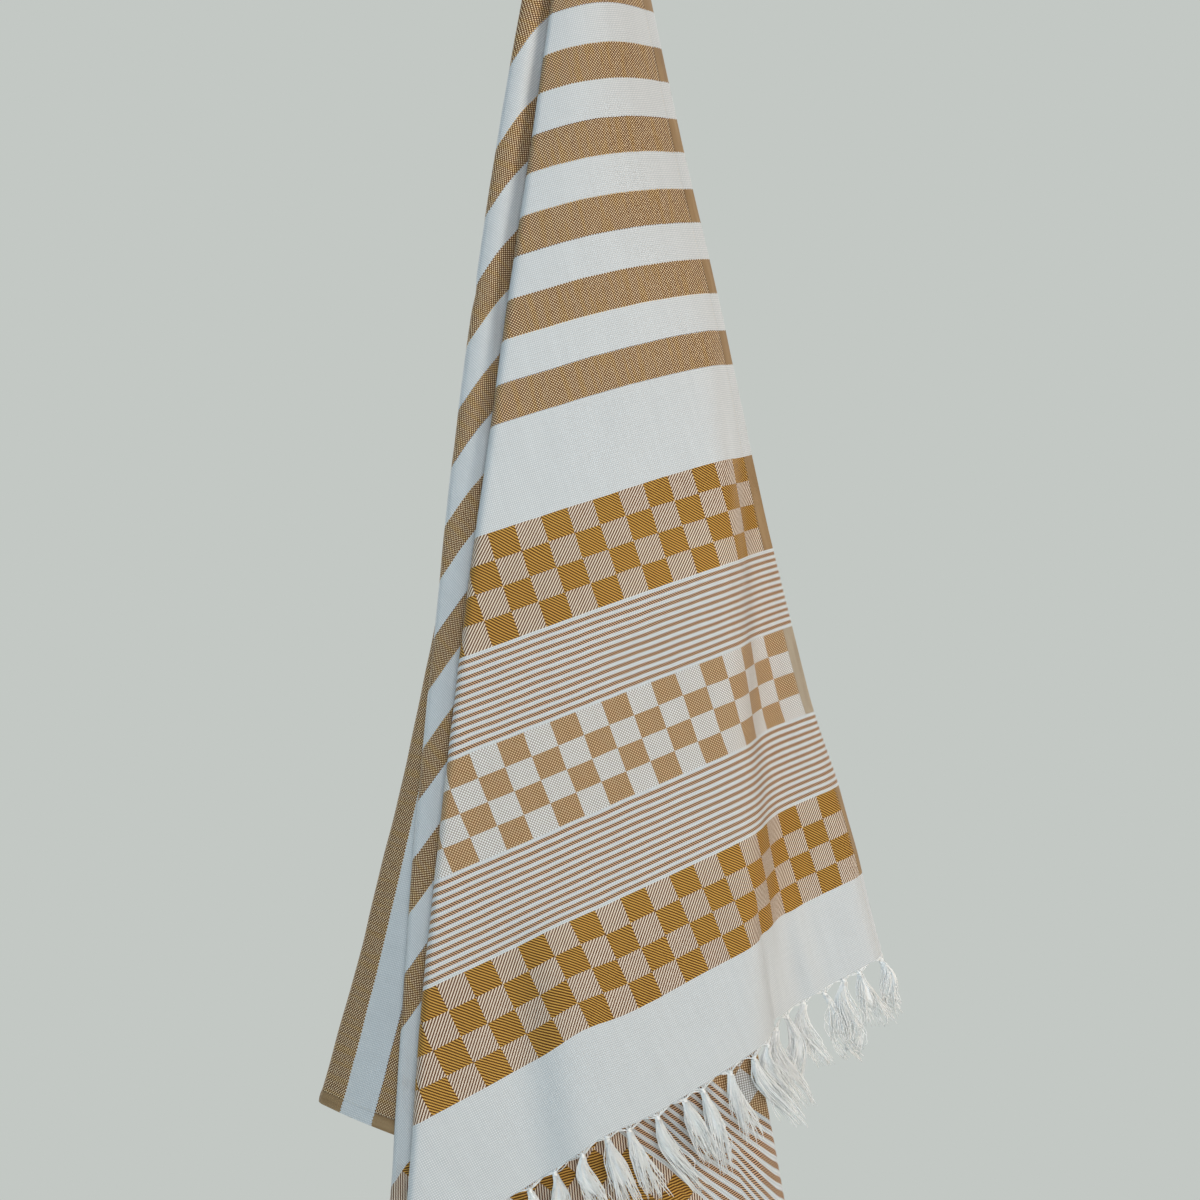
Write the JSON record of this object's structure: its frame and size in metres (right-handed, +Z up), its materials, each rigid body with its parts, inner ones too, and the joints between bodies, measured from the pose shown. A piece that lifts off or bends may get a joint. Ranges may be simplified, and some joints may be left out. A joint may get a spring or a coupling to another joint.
{
  "type": "bath towel",
  "caption": "Flat-woven striped and checked cotton bath towel with tasselled ends, hanging in soft folds from one point of its long edge.",
  "frame": {"origin": "the point the towel hangs from, in the middle of one long edge", "axes": "+X to the right and +Y back towards the wall as seen from the front, +Z up"},
  "size_m": [0.395, 0.1028, 1.4226],
  "materials": {
    "striped_cotton": "matte",
    "tassel_cotton": "matte"
  },
  "bodies": {
    "root": {"towel_cloth": "striped_cotton", "fringe_front": "tassel_cotton", "fringe_back": "tassel_cotton"}
  },
  "joints": []
}
